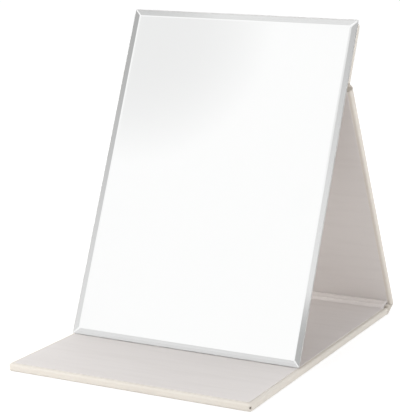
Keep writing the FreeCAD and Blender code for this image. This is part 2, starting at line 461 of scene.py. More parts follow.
class Effects:
    """Shared surface effects, each one a node group that puts out colours, masks and heights.

    Scales are in waves or cells per metre, and spans are the range of a noise that is drawn out to 0..1.
    Sockets that KINDS doesn't name carry plain values.
    """

    KINDS = {"Vector": "NodeSocketVector", "Stretch": "NodeSocketVector", "Colour": "NodeSocketColor",
             "Second": "NodeSocketColor", "Worn": "NodeSocketColor"}
    DRIFT_SCALE = 420.0
    DRIFT_REACH = 0.0012
    CELL_RIM = 0.28
    PORE_SCALE = 5200.0
    PORE_SHARE = 0.25
    PATCH_SPAN = (0.35, 0.75)
    FLECK_SCALE = 2600.0
    FLECK_SPAN = (0.45, 0.8)
    FLECK_SHARE = 0.6
    RUB_SCALE = 260.0
    RUB_SPAN = (0.4, 0.7)
    RUB_LEAST = 0.15
    FIBRE_STRETCH = (0.25, 1.0, 1.0)
    FIBRE_SPAN = (0.35, 0.7)
    CLUMP_SCALE = 180.0
    CLUMP_SHARE = 0.4
    WIPE_TURN = (0.0, 0.5, 0.6)
    WIPE_STRETCH = (1.0, 3.0, 0.6)
    FILM_SPAN = (0.55, 0.85)

    def __init__(self) -> None:
        """Build every group once."""
        self.grain = self.leather_grain()
        self.mottle = self.colour_mottle()
        self.wear = self.edge_wear()
        self.fibre = self.board_fibre()
        self.smudge = self.hand_smudge()

    def begin(self, name: str, takes: tuple[str, ...],
              gives: tuple[str, ...]) -> tuple[Shader, dict, bpy.types.Node]:
        """Make an empty group.

        Args:
            name: the group's name.
            takes: names of its inputs.
            gives: names of its outputs.

        Returns:
            The group's tree, its input sockets by name and its output node.
        """
        tree = bpy.data.node_groups.new(name, "ShaderNodeTree")
        for labels, way in ((takes, "INPUT"), (gives, "OUTPUT")):
            for label in labels:
                kind = self.KINDS.get(label, "NodeSocketFloat")
                tree.interface.new_socket(label, in_out=way, socket_type=kind)
        shader = Shader(tree)
        entry = shader.add("NodeGroupInput")
        leave = shader.add("NodeGroupOutput")
        return shader, {label: entry.outputs[label] for label in takes}, leave

    def leather_grain(self) -> Tree:
        """Pebbled grain: cells of uneven size with fine pores, low and masked in the creases between them.

        Returns:
            The group's tree.
        """
        shader, take, leave = self.begin("leather_grain", ("Vector", "Scale"), ("Height", "Mask"))
        place = take["Vector"]
        drift = shader.add("ShaderNodeTexNoise", {"Vector": place, "Scale": self.DRIFT_SCALE, "Detail": 2.0})
        pull = shader.vector("SCALE", {0: drift.outputs["Color"], "Scale": self.DRIFT_REACH})
        cells = shader.add("ShaderNodeTexVoronoi",
                           {"Vector": shader.vector("ADD", {0: place, 1: pull}), "Scale": take["Scale"]},
                           feature="DISTANCE_TO_EDGE")
        pebble = shader.spread(cells.outputs["Distance"], 0.0, self.CELL_RIM)
        pores = shader.noise(place, self.PORE_SCALE, detail=2.0)
        shader.feed(leave, {"Height": shader.math("MULTIPLY_ADD", pores, self.PORE_SHARE, pebble),
                            "Mask": shader.math("SUBTRACT", 1.0, pebble)})
        return shader.tree

    def colour_mottle(self) -> Tree:
        """Slow drift of a colour towards a second one, in patches and in fine flecks.

        Returns:
            The group's tree.
        """
        shader, take, leave = self.begin(
            "colour_mottle", ("Vector", "Colour", "Second", "Stretch", "Scale", "Amount"), ("Colour",))
        drawn = shader.vector("MULTIPLY", {0: take["Vector"], 1: take["Stretch"]})
        patches = shader.spread(shader.noise(drawn, take["Scale"], detail=5.0), *self.PATCH_SPAN)
        flecks = shader.spread(shader.noise(take["Vector"], self.FLECK_SCALE, detail=2.0),
                               *self.FLECK_SPAN, 0.0, self.FLECK_SHARE)
        share = shader.math("MULTIPLY", shader.math("MAXIMUM", patches, flecks), take["Amount"])
        shader.feed(leave, {"Colour": shader.mix(share, take["Colour"], take["Second"])})
        return shader.tree

    def edge_wear(self) -> Tree:
        """Broken rub marks where the edge attribute is high; on the fold lining's ridge crests the paler colour is
        painted highlight as well.

        Returns:
            The group's tree.
        """
        shader, take, leave = self.begin(
            "edge_wear", ("Vector", "Edge", "Colour", "Worn", "Amount"), ("Colour", "Mask"))
        broken = shader.spread(shader.noise(take["Vector"], self.RUB_SCALE, detail=6.0, roughness=0.65),
                               *self.RUB_SPAN, self.RUB_LEAST)
        share = shader.math("MULTIPLY", shader.math("MULTIPLY", broken, take["Edge"]), take["Amount"])
        shader.feed(leave, {"Colour": shader.mix(share, take["Colour"], take["Worn"]), "Mask": share})
        return shader.tree

    def board_fibre(self) -> Tree:
        """Pressed paper pulp: stretched fibres over coarse clumps.

        Returns:
            The group's tree.
        """
        shader, take, leave = self.begin("board_fibre", ("Vector", "Scale"), ("Height", "Mask"))
        drawn = shader.add("ShaderNodeMapping", {"Vector": take["Vector"], "Scale": self.FIBRE_STRETCH})
        fibres = shader.noise(drawn.outputs[0], take["Scale"], detail=6.0, roughness=0.7)
        clumps = shader.noise(take["Vector"], self.CLUMP_SCALE, detail=3.0)
        shader.feed(leave, {"Height": shader.math("MULTIPLY_ADD", clumps, self.CLUMP_SHARE, fibres),
                            "Mask": shader.spread(fibres, *self.FIBRE_SPAN)})
        return shader.tree

    def hand_smudge(self) -> Tree:
        """Faint wiped film on a polished face.

        Returns:
            The group's tree.
        """
        shader, take, leave = self.begin("hand_smudge", ("Vector", "Scale"), ("Mask",))
        wiped = shader.add("ShaderNodeMapping", {"Vector": take["Vector"], "Rotation": self.WIPE_TURN,
                                                 "Scale": self.WIPE_STRETCH})
        film = shader.noise(wiped.outputs[0], take["Scale"], detail=5.0, roughness=0.6)
        shader.feed(leave, {"Mask": shader.spread(film, *self.FILM_SPAN)})
        return shader.tree


@dataclass(frozen=True, kw_only=True)
class Finish:
    """The look of one material slot, with a second colour towards which its colour varies."""

    slot: Slot
    colour: Colour
    second: Colour

    def material(self, effects: Effects) -> bpy.types.Material:
        """Make the finish's material.

        Args:
            effects: the shared effects.

        Returns:
            The material, patterned on object coordinates.
        """
        made = bpy.data.materials.new(self.slot.value + "_finish")
        made.use_nodes = True
        shader = Shader(made.node_tree)
        place = shader.add("ShaderNodeTexCoord").outputs["Object"]
        surface = shader.add("ShaderNodeBsdfPrincipled", self.surface(shader, effects, place))
        shader.add("ShaderNodeOutputMaterial", {"Surface": surface.outputs[0]})
        return made

    def surface(self, shader: Shader, effects: Effects, place: Socket) -> dict:
        """Build what comes before the surface.

        Args:
            shader: the material's tree.
            effects: the shared effects.
            place: the object coordinates.

        Returns:
            Values and sockets for the surface, by input name.
        """
        raise NotImplementedError


@dataclass(frozen=True, kw_only=True)
class SheetFinish(Finish):
    """A mottled sheet with a raised texture, darker and duller where the texture's mask is high: painted shade in
    the leather grain's creases, and the board's own darker fibres.
    """

    scale: float
    depth: float
    roughness: float
    patch_scale: float
    mottle: float
    shade: float
    dulling: float
    bump: float
    specular: float
    stretch: Point = (1.0, 1.0, 1.0)

    def texture(self, effects: Effects) -> Tree:
        """Returns the shared effect that gives the texture's height and mask."""
        raise NotImplementedError

    def surface(self, shader: Shader, effects: Effects, place: Socket) -> dict:
        """Mottle the sheet, raise its texture and dull it where the mask is high.

        Args:
            shader: the material's tree.
            effects: the shared effects.
            place: the object coordinates.

        Returns:
            Values and sockets for the surface, by input name.
        """
        raised = shader.group(self.texture(effects), {"Vector": place, "Scale": self.scale})
        mask = raised.outputs["Mask"]
        mottled = shader.group(effects.mottle, {
            "Vector": place, "Colour": self.colour, "Second": self.second, "Stretch": self.stretch,
            "Scale": self.patch_scale, "Amount": self.mottle}).outputs["Colour"]
        # Darkening by the mask: painted shade in the leather grain's creases; in board, the fibres' own tone.
        tone = shader.mix(shader.math("MULTIPLY", mask, self.shade), mottled, self.second)
        dullest = min(1.0, self.roughness + self.dulling)
        rough = shader.spread(mask, 0.0, 1.0, self.roughness, dullest)
        bump = shader.add("ShaderNodeBump", {"Height": raised.outputs["Height"], "Strength": self.bump,
                                             "Distance": self.depth})
        return {"Base Color": tone, "Roughness": rough, "Normal": bump.outputs[0],
                "Specular IOR Level": self.specular}


@dataclass(frozen=True, kw_only=True)
class LeatherFinish(SheetFinish):
    """Coated sheet with a pebbled grain, slightly rubbed along its edges; on the fold lining the paler colour also
    paints highlight on the ridge crests.
    """

    worn: Colour
    wear: float
    patch_scale: float = 28.0
    mottle: float = 0.55
    shade: float = 0.22
    dulling: float = 0.15
    bump: float = 0.5
    specular: float = 0.35
    sheen: float = 0.05

    def texture(self, effects: Effects) -> Tree:
        """Returns the grain."""
        return effects.grain

    def surface(self, shader: Shader, effects: Effects, place: Socket) -> dict:
        """Rub the grained sheet paler along its edges; on the fold lining's ridge crests this is painted highlight
        as well.

        Args:
            shader: the material's tree.
            effects: the shared effects.
            place: the object coordinates.

        Returns:
            Values and sockets for the surface, by input name.
        """
        inputs = super().surface(shader, effects, place)
        wear = shader.group(effects.wear, {
            "Vector": place, "Edge": shader.edge_mark(), "Colour": inputs["Base Color"], "Worn": self.worn,
            "Amount": self.wear})
        return inputs | {"Base Color": wear.outputs["Colour"], "Sheen Weight": self.sheen}


@dataclass(frozen=True, kw_only=True)
class BoardFinish(SheetFinish):
    """Uncoated board, card or tape with pressed fibres."""

    depth: float = 0.05 * MM
    patch_scale: float = 45.0
    mottle: float = 0.7
    shade: float = 0.35
    dulling: float = 0.1
    bump: float = 0.4
    specular: float = 0.2

    def texture(self, effects: Effects) -> Tree:
        """Returns the fibres."""
        return effects.fibre


@dataclass(frozen=True, kw_only=True)
class GlassFinish(Finish):
    """Clear polished glass with a faint green cast, a wiped film on it and ground edges."""

    ground: float = 0.6
    smudge_scale: float = 16.0
    film_rough: float = 0.02
    ior: float = 1.5
    sheen_rough: float = 0.8

    def surface(self, shader: Shader, effects: Effects, place: Socket) -> dict:
        """Leave the glass clear, and make it dull and whitish where the edge is ground.

        Args:
            shader: the material's tree.
            effects: the shared effects.
            place: the object coordinates.

        Returns:
            Values and sockets for the surface, by input name.
        """
        smudge = shader.group(effects.smudge, {"Vector": place, "Scale": self.smudge_scale}).outputs["Mask"]
        edge = shader.edge_mark()
        film = shader.spread(smudge, 0.0, 1.0, 0.0, self.film_rough)
        return {"Base Color": shader.mix(smudge, self.colour, self.second),
                "Roughness": shader.math("MULTIPLY_ADD", edge, self.ground, film),
                "IOR": self.ior, "Transmission Weight": 1.0,
                "Sheen Weight": edge, "Sheen Roughness": self.sheen_rough}


@dataclass(frozen=True, kw_only=True)
class SilverFinish(Finish):
    """Silver film behind the glass, dulled to its second colour in a thin uneven line at its edges."""

    wear: float = 0.8
    clear_rough: float = 0.01
    dull_rough: float = 0.25

    def surface(self, shader: Shader, effects: Effects, place: Socket) -> dict:
        """Make a metal that is less polished where it is dulled.

        Args:
            shader: the material's tree.
            effects: the shared effects.
            place: the object coordinates.

        Returns:
            Values and sockets for the surface, by input name.
        """
        wear = shader.group(effects.wear, {
            "Vector": place, "Edge": shader.edge_mark(), "Colour": self.colour, "Worn": self.second,
            "Amount": self.wear})
        rough = shader.spread(wear.outputs["Mask"], 0.0, 1.0, self.clear_rough, self.dull_rough)
        return {"Base Color": wear.outputs["Colour"], "Roughness": rough, "Metallic": 1.0}


FINISHES = (
    LeatherFinish(slot=Slot.LEATHERETTE, colour=(0.755, 0.715, 0.655, 1), second=(0.70, 0.65, 0.585, 1),
                  worn=(0.80, 0.77, 0.72, 1), scale=1150.0, depth=0.06 * MM, roughness=0.5, wear=0.5),
    # The lining's pale worn colour is rub along its edges and painted highlight on the rear fold's ridge crests.
    LeatherFinish(slot=Slot.LINING, colour=(0.765, 0.735, 0.72, 1), second=(0.71, 0.678, 0.662, 1),
                  worn=(0.92, 0.88, 0.855, 1), scale=1700.0, depth=0.03 * MM, roughness=0.58, wear=0.5,
                  stretch=(0.12, 1.0, 1.0), patch_scale=150.0),
    LeatherFinish(slot=Slot.BACKING_WRAP, colour=(0.73, 0.655, 0.60, 1), second=(0.67, 0.60, 0.545, 1),
                  worn=(0.78, 0.71, 0.66, 1), scale=1500.0, depth=0.03 * MM, roughness=0.55, wear=0.3),
    # Dark greyboard: where it shows through the cover's corner tucks, its dark tone is painted shade for the
    # hollow there.
    BoardFinish(slot=Slot.GREYBOARD, colour=(0.17, 0.15, 0.125, 1), second=(0.12, 0.105, 0.085, 1),
                scale=900.0, roughness=0.85),
    BoardFinish(slot=Slot.INFILL_CARD, colour=(0.66, 0.62, 0.54, 1), second=(0.56, 0.51, 0.43, 1),
                scale=1300.0, roughness=0.8),
    BoardFinish(slot=Slot.TAPE, colour=(0.70, 0.70, 0.67, 1), second=(0.60, 0.60, 0.57, 1),
                scale=2000.0, roughness=0.6),
    GlassFinish(slot=Slot.GLASS, colour=(0.992, 0.997, 0.994, 1), second=(0.982, 0.99, 0.986, 1)),
    SilverFinish(slot=Slot.SILVERING, colour=(0.985, 0.985, 0.985, 1), second=(0.55, 0.54, 0.52, 1)),
)


class Workshop:
    """Hands out the finishes, dresses pieces with them and sets each rigid piece on its body."""

    def __init__(self) -> None:
        """Make every material once."""
        effects = Effects()
        self.materials = {finish.slot: finish.material(effects) for finish in FINISHES}

    def dress(self, piece: Piece, slot: Slot) -> None:
        """Give a new piece the finish of its slot.

        Args:
            piece: the piece.
            slot: its finish.
        """
        piece.data.materials.clear()
        piece.data.materials.append(self.materials[slot])

    def ride(self, piece: Piece, slot: Slot, body: Body, *nodes: str) -> None:
        """Finish a rigid piece.

        Args:
            piece: the piece.
            slot: its finish.
            body: the body that carries it.
            nodes: nodes of the frame that it stands for.
        """
        self.dress(piece, slot)
        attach(piece, body.value)
        if nodes:
            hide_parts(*nodes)
        LOG.info("%s rides on %s", piece.name, body.value)

    def bend(self, piece: Piece, slot: Slot, bodies: tuple[Body, Body],
             start: Array, end: Array, *nodes: str) -> None:
        """Finish a soft piece that crosses a fold.

        Args:
            piece: the piece.
            slot: its finish.
            bodies: the bodies on each side of the fold.
            start: side-view point on the first body's side of the fold; not used.
            end: side-view point on the second body's side of the fold; not used.
            nodes: nodes of the frame that it stands for.
        """
        self.dress(piece, slot)
        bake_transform(piece)
        if nodes:
            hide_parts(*nodes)
        LOG.info("%s bends between %s and %s", piece.name, bodies[0].value, bodies[1].value)

    def dress_frame(self) -> None:
        """Give every node of the frame the finish of its slot."""
        for subpart in frame["record"]["subparts"]:
            node = frame["nodes"][subpart["node"]]
            node.data.materials.clear()
            node.data.materials.append(self.materials[Slot(subpart["material_slot"])])


@dataclass
class WrappedSheet:
    """Leatherette drawn over a board: flat on its outer face, round its edges and turned in behind.

    Local axes are x across, the run along the board from its fold end, and the depth inwards. The far end
    is wrapped with rounded corners, or left open where a second fold leaves the board.
    """

    width: float
    length: float
    depth: float
    skin: float
    wrapped: bool
    corner_radius: float = 2.5 * MM
    edge_radius: float = 1.8 * MM
    turn_in: float = 14.0 * MM
    waves: float = 0.05 * MM
    tuck_depth: float = 2.2 * MM
    tuck_radius: float = 0.8 * MM
    calm_rim: float = 20.0 * MM
    worn_reach: float = 1.2 * MM

    CORNER_POINTS = 13
    ACROSS_POINTS = 62
    RUN_POINTS = 70
    ARC_POINTS = 9
    SIDE_POINTS = 11
    TURN_POINTS = 7
    PIT_HEIGHT = 0.9
    GROOVE_SHARE = 0.06
    GROOVE_WIDTH = 0.45
    GROOVE_SPAN = (0.3, 0.6)

    def __post_init__(self) -> None:
        """Find the flat face's half width, its far end and the radius that is left at its corners."""
        self.half = self.width / 2 - self.edge_radius
        self.far = self.length - self.edge_radius * self.wrapped
        self.round_off = self.corner_radius - self.edge_radius

    def outer_face(self) -> tuple[Array, Array, Array]:
        """The flat outer face as a grid whose far corners are bent onto quarter circles.

        With a and b the shares, 0 to 1, of a point's way into a corner square, the point goes to
        (a sqrt(1 - b^2 / 2), b sqrt(1 - a^2 / 2)) of that square, which carries its rim onto an arc.

        Returns:
            The grid's local points, and the outward (x, run) directions of its points as two arrays.
        """
        straight = self.half - self.round_off
        start = self.far - self.round_off
        rim = np.linspace(0.0, self.round_off, self.CORNER_POINTS)
        middle = np.linspace(-straight, straight, self.ACROSS_POINTS)[1:-1]
        across = np.concatenate([rim - self.half, middle, self.half - rim[::-1]])
        runs = np.concatenate([np.linspace(0.0, start, self.RUN_POINTS)[:-1], self.far - rim[::-1]])
        x, run = np.meshgrid(across, runs, indexing="ij")
        a = np.clip((np.abs(x) - straight) / self.round_off, 0.0, 1.0)
        b = np.clip((run - start) / self.round_off, 0.0, 1.0) * self.wrapped
        bent_a = a * np.sqrt(1.0 - b * b / 2)
        bent_b = b * np.sqrt(1.0 - a * a / 2)
        grid = np.zeros(x.shape + (3,))
        grid[..., 0] = np.sign(x) * (np.minimum(np.abs(x), straight) + self.round_off * bent_a)
        grid[..., 1] = run
        if self.wrapped:
            grid[..., 1] = np.minimum(run, start) + self.round_off * bent_b
        from_ends = np.minimum(grid[..., 1], self.far - grid[..., 1])
        inner = np.minimum(self.half - np.abs(grid[..., 0]), from_ends)
        still = smoothstep(0.0, self.calm_rim, inner)
        grid[..., 2] = soft_sheet_waves(grid[..., 0], grid[..., 1], self.waves) * still
        return grid, np.sign(x) * bent_a, bent_b

    def section(self) -> Array:
        """The way round an edge: an arc, the side, an arc and the turn-in.

        A point of the first arc, of radius r, has inset r (1 - sin a) and depth r (1 - cos a).

        Returns:
            (n, 2) points as (inset, depth).
        """
        r = self.edge_radius
        angles = np.linspace(0.0, math.pi / 2, self.ARC_POINTS)
        under = np.stack([r * (1 - np.sin(angles)), r * (1 - np.cos(angles))], 1)
        over = np.stack([r * (1 - np.cos(angles)), self.depth - r + r * np.sin(angles)], 1)
        depths = np.linspace(r, self.depth - r, self.SIDE_POINTS)[1:-1]
        side = np.stack([np.zeros_like(depths), depths], 1)
        insets = np.linspace(r, self.turn_in, self.TURN_POINTS)[1:]
        turned = np.stack([insets, np.full_like(insets, self.depth)], 1)
        return np.concatenate([under[1:], side, over, turned])

    def tuck(self, out_x: Array, out_run: Array, depth: Array) -> Array:
        """How far the corner's folded tuck lies in from the side.

        It is a small pit and a groove at 45 degrees, both bell curves of the distance s along the corner:
        exp(-(s / radius)^2), where s is the corner radius times the angle from the corner's middle.

        Args:
            out_x: outward x share at each rim point.
            out_run: outward share along the run.
            depth: depth of each row of the edge.

        Returns:
            The distance at each row and rim point.
        """
        away = self.corner_radius * (np.arctan2(out_run, np.abs(out_x)) - math.pi / 4)
        across = np.exp(-(away / self.tuck_radius) ** 2)
        height = np.exp(-((depth - 0.5 * self.depth) / (self.PIT_HEIGHT * self.tuck_radius)) ** 2)
        groove = self.GROOVE_SHARE * np.exp(-(away / (self.GROOVE_WIDTH * self.tuck_radius)) ** 2)
        groove = groove * smoothstep(*self.GROOVE_SPAN, depth / self.depth)
        return self.tuck_depth * (across * height + groove) * self.wrapped

    def rows(self, path: Array, out_x: Array, out_run: Array) -> tuple[Array, Array]:
        """Carry the edge's section along one stretch of the outer face's rim.

        Past a corner's own radius the inset outline has a mitred corner, so each coordinate is the lesser
        of its own value and the inset corner's, plus what is left of the radius in the outward direction.

        Args:
            path: (n, 3) rim points.
            out_x: outward x share at each of them.
            out_run: outward share along the run.

        Returns:
            The new (rows, n, 3) local points and their closeness to the edge.
        """
        section = self.section()
        inset, depth = section[:, :1], section[:, 1:]
        left = self.corner_radius - inset
        beyond = np.minimum(left, 0.0)
        reach = np.maximum(left, 0.0) - self.tuck(out_x, out_run, depth) * (inset < self.edge_radius)
        made = np.empty((len(inset), len(path), 3))
        straight = self.half - self.round_off + beyond
        made[..., 0] = np.sign(path[:, 0]) * np.minimum(np.abs(path[:, 0]), straight)
        made[..., 0] += out_x * reach
        made[..., 1] = path[:, 1]
        if self.wrapped:
            made[..., 1] = np.minimum(path[:, 1], self.far - self.round_off + beyond) + out_run * reach
        made[..., 2] = depth
        worn = sum(np.exp(-((depth - level) / self.worn_reach) ** 2) for level in (self.depth, 0.0))
        worn = np.clip(worn, 0.0, 1.0) * np.exp(-(inset / (2.0 * self.edge_radius)) ** 2)
        return made, np.broadcast_to(worn, made.shape[:2])

    def end_cap(self, row: Array) -> Array:
        """Sheet turned down over an open end of the board.

        Args:
            row: (n, 3) points of the outer face along that end.

        Returns:
            (rows, n, 3) local points: the row, drawn out to the edge section's width at each depth.
        """
        section = self.section()
        section = section[section[:, 0] <= self.edge_radius]
        cap = np.repeat(row[None], len(section), 0)
        cap[..., 0] *= (self.width / 2 - section[:, :1]) / self.half
        cap[..., 2] = section[:, 1:]
        return cap

    def build(self, name: str, axes: PlateFrame) -> Piece:
        """Build the sheet in place.

        Args:
            name: the piece's name.
            axes: axes whose origin is the fold end of the sheet's outer face.

        Returns:
            The piece, with its thickness as a modifier.
        """
        grid, out_x, out_run = self.outer_face()
        index = np.arange(out_x.size).reshape(out_x.shape)
        flat = grid.reshape(-1, 3)
        sides = [index[0], index[-1, ::-1]]
        rims = [np.concatenate([sides[0], index[1:-1, -1], sides[1]])] if self.wrapped else sides
        ends = (index[:, :1] if self.wrapped else index[:, (0, -1)]).T
        outward = np.stack([out_x, out_run], -1).reshape(-1, 2)
        strips = [(rim, *self.rows(flat[rim], *outward[rim].T)) for rim in rims]
        caps = [self.end_cap(flat[end]) for end in ends]
        strips += [(end, cap, np.zeros(cap.shape[:2])) for end, cap in zip(ends, caps)]

        points = [flat]
        faces = [grid_faces(*index.shape)]
        edges = [np.zeros(index.size)]
        count = index.size
        for rim, made, worn in strips:
            ladder = np.concatenate([rim[None, :], count + np.arange(worn.size).reshape(worn.shape)])
            faces.append(ladder.reshape(-1)[grid_faces(*ladder.shape)])
            points.append(made.reshape(-1, 3))
            edges.append(worn.reshape(-1))
            count += worn.size
        piece = put_mesh(name, axes.place(np.concatenate(points)), np.concatenate(faces),
                         np.array([0.0, *(-axes.inward)]), np.concatenate(edges))
        thicken(piece, self.skin)
        return piece


@dataclass
class CoverPanel:
    """A stiff panel of the cover: its wrapped leatherette and, on two of the panels, its pale lining."""

    name: str
    body: Body
    board: str
    skin_node: str
    along: Pair
    inward: Pair
    wrapped: bool
    lining: str = ""
    end_lap: float = 0.2 * MM
    lining_corner: float = 2.0 * MM
    lining_turn_in: float = 1.0 * MM

    LINING_SKIN_SHARE = 0.3
    LINING_EDGE_SHARE = 0.45
    LINING_WAVE_SHARE = 0.12

    def __post_init__(self) -> None:
        """Read the board's axes and the leatherette's thickness from the frame."""
        self.axes = PlateFrame.of_node(self.board, self.along, self.inward)
        low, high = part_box(self.skin_node)
        self.width = high[0] - low[0]
        self.skin = (self.width - self.axes.width) / 2

    def outer(self, run: float) -> Array:
        """Returns the side-view point of the leatherette's outer face at a distance from the fold end."""
        return self.axes.side(run, -self.skin)

    def inner(self, run: float, lift: float) -> Array:
        """Returns the side-view point over the lining's face at a distance from the fold end."""
        lining = PlateFrame.of_node(self.lining, self.along, self.inward)
        return self.axes.side(run, lining.thickness + self.axes.thickness + self.skin + lift)

    def build(self, workshop: Workshop) -> None:
        """Build the panel's pieces on its body; the leatherette laps just past the board's open ends.

        Args:
            workshop: hands out the finishes and sets the pieces on their bodies.
        """
        skin_axes = PlateFrame(self.outer(-self.end_lap), self.axes.along, self.axes.inward,
                               self.axes.length, self.axes.thickness, self.width)
        far_lap = self.skin if self.wrapped else self.end_lap
        sheet = WrappedSheet(self.width, self.end_lap + self.axes.length + far_lap,
                             self.axes.thickness + 2 * self.skin, self.skin, self.wrapped)
        cover = sheet.build(self.name + "_cover", skin_axes)
        workshop.ride(cover, Slot.LEATHERETTE, self.body, self.skin_node)
        if self.lining:
            self.build_lining(workshop)

    def build_lining(self, workshop: Workshop) -> None:
        """The lining: a thin sheet over the turned-in leatherette, rolled off along its edges.

        Args:
            workshop: hands out the finishes and sets the pieces on their bodies.
        """
        face = PlateFrame.of_node(self.lining, self.along, tuple(-np.array(self.inward)))
        thick = face.thickness
        sheet = WrappedSheet(face.width, face.length, thick, self.LINING_SKIN_SHARE * thick, self.wrapped,
                             corner_radius=self.lining_corner, edge_radius=self.LINING_EDGE_SHARE * thick,
                             turn_in=self.lining_turn_in, waves=self.LINING_WAVE_SHARE * thick,
                             tuck_depth=0.0)
        workshop.ride(sheet.build(self.name + "_lining_sheet", face), Slot.LINING, self.body, self.lining)


@dataclass
class RearFold:
    """The two folds behind the base: outer leatherette, the stiffened spine and the soft lining over them.

    Rolls are given by their run and rise from the spine's middle and their radius.
    """

    base: CoverPanel
    back: CoverPanel
    side_inset: float = 0.6 * MM
    lower_radius: float = 3.0 * MM
    upper_radius: float = 2.0 * MM
    lower_reach: float = 1.6 * MM
    upper_bend: Pair = (1.0 * MM, 2.9 * MM)
    clearance: float = 0.05 * MM
    base_margin: float = 3.0 * MM
    back_margin: float = 4.5 * MM
    lining_reach: float = 1.5 * MM
    lining_thickness: float = 0.5 * MM
    ridge_rise: float = 1.6 * MM
    # How much paler the lining's ridge crests are drawn: rubbed wear and painted highlight where the crests face
    # the light.
    ridge_rub_and_highlight: float = 1.0
    draw_from: float = 0.72
    pad_width: float = 8.6 * MM
    pad_depth: float = 2.4 * MM
    pad_power: float = 0.55
    lower_roll: Point = (-6.6 * MM, 3.0 * MM, 1.7 * MM)
    upper_roll: Point = (-2.0 * MM, 3.75 * MM, 1.25 * MM)

    LOWER_POINTS = 14
    UPPER_POINTS = 22
    PAD_POINTS = 49
    PAD_FULLNESS = 40
    LAP_POINTS = 5
    RIDGE_POINTS = 20
    DRAWN_POINTS = 28
    LINING_COLUMNS = 80
    LINING_SHARE = 0.8

    def __post_init__(self) -> None:
        """Find the spine's axes from its two folds."""
        self.lower = Fold.TILT.axis()
        self.upper = Fold.STAND.axis()
        run = self.upper - self.lower
        self.along = run / np.linalg.norm(run)
        self.inward = np.array([-self.along[1], self.along[0]])
        self.middle = (self.lower + self.upper) / 2
        self.width = self.base.width - 2 * self.side_inset

    def build(self, workshop: Workshop) -> None:
        """Build the folds' pieces.

        Args:
            workshop: hands out the finishes and sets the pieces on their bodies.
        """
        self.build_skins(workshop)
        self.build_pad(workshop)
        self.build_rolls(workshop)
        self.build_lining(workshop)

    def bend_lower(self, workshop: Workshop, piece: Piece, *nodes: str) -> None:
        """Finish a piece of leatherette that lies across the lower fold.

        Args:
            workshop: hands out the finish.
            piece: the piece.
            nodes: nodes of the frame that it stands for.
        """
        reach = self.along * self.lower_reach
        start, end = self.lower - reach, self.lower + reach
        workshop.bend(piece, Slot.LEATHERETTE, (Body.BASE, Body.SPINE), start, end, *nodes)

    def build_skins(self, workshop: Workshop) -> None:
        """Outer leatherette from the base to the middle of the spine, and on from there to the back panel.

        Args:
            workshop: hands out the finishes and sets the pieces on their bodies.
        """
        skin = self.base.skin
        middle = self.middle - self.inward * skin
        first = self.base.outer(0.0)
        last = self.back.outer(0.0)
        low_corner = meeting_point(first, self.base.axes.along, middle, self.along)
        high_corner = meeting_point(middle, self.along, last, self.back.axes.along)
        low_path = rounded_bend(first, low_corner, middle, self.lower_radius, self.LOWER_POINTS)
        high_path = rounded_bend(middle, high_corner, last, self.upper_radius, self.UPPER_POINTS)
        lower = carried_sheet("rear_fold_lower_skin", low_path, self.width, SKIN_COLUMNS, -self.inward, skin)
        self.bend_lower(workshop, lower, "spine_skin")
        upper = carried_sheet("rear_fold_upper_skin", high_path, self.width, SKIN_COLUMNS, -self.inward, skin)
        start, end = (self.upper + self.back.axes.along * run for run in self.upper_bend)
        workshop.bend(upper, Slot.LEATHERETTE, (Body.SPINE, Body.BACK), start, end)

    def build_pad(self, workshop: Workshop) -> None:
        """The spine's board in its turned-in leatherette: a bar whose section is a flat oval.

        Args:
            workshop: hands out the finishes and sets the pieces on their bodies.
        """
        section = oval(self.pad_width / 2, self.pad_depth / 2, self.pad_power, self.PAD_POINTS)
        section = section @ np.stack([self.along, self.inward])
        centre = self.middle + self.inward * (self.pad_depth / 2 + self.clearance)
        pad = soft_bar("spine_pad", centre, section, self.width, self.PAD_FULLNESS, rub_and_highlight=1.0)
        workshop.ride(pad, Slot.LEATHERETTE, Body.SPINE, "spine_board")

    def roll(self, name: str, course: Point) -> Piece:
        """Returns a roll made at its run and rise from the spine's middle, with its radius."""
        run, rise, radius = course
        return soft_roll(name, self.middle + self.along * run + self.inward * rise, radius, self.width)

    def build_rolls(self, workshop: Workshop) -> None:
        """Turned-in leatherette that fills the folds beside the pad and over it."""
        self.bend_lower(workshop, self.roll("rear_fold_lower_roll", self.lower_roll))
        workshop.ride(self.roll("rear_fold_upper_roll", self.upper_roll), Slot.LEATHERETTE, Body.SPINE)

    def lap(self, stops: list[Array]) -> Array:
        """Returns points along the straight runs between stops, up to just before the last one."""
        runs = zip(stops[:-1], stops[1:])
        return np.concatenate([np.linspace(start, end, self.LAP_POINTS)[:-1] for start, end in runs])

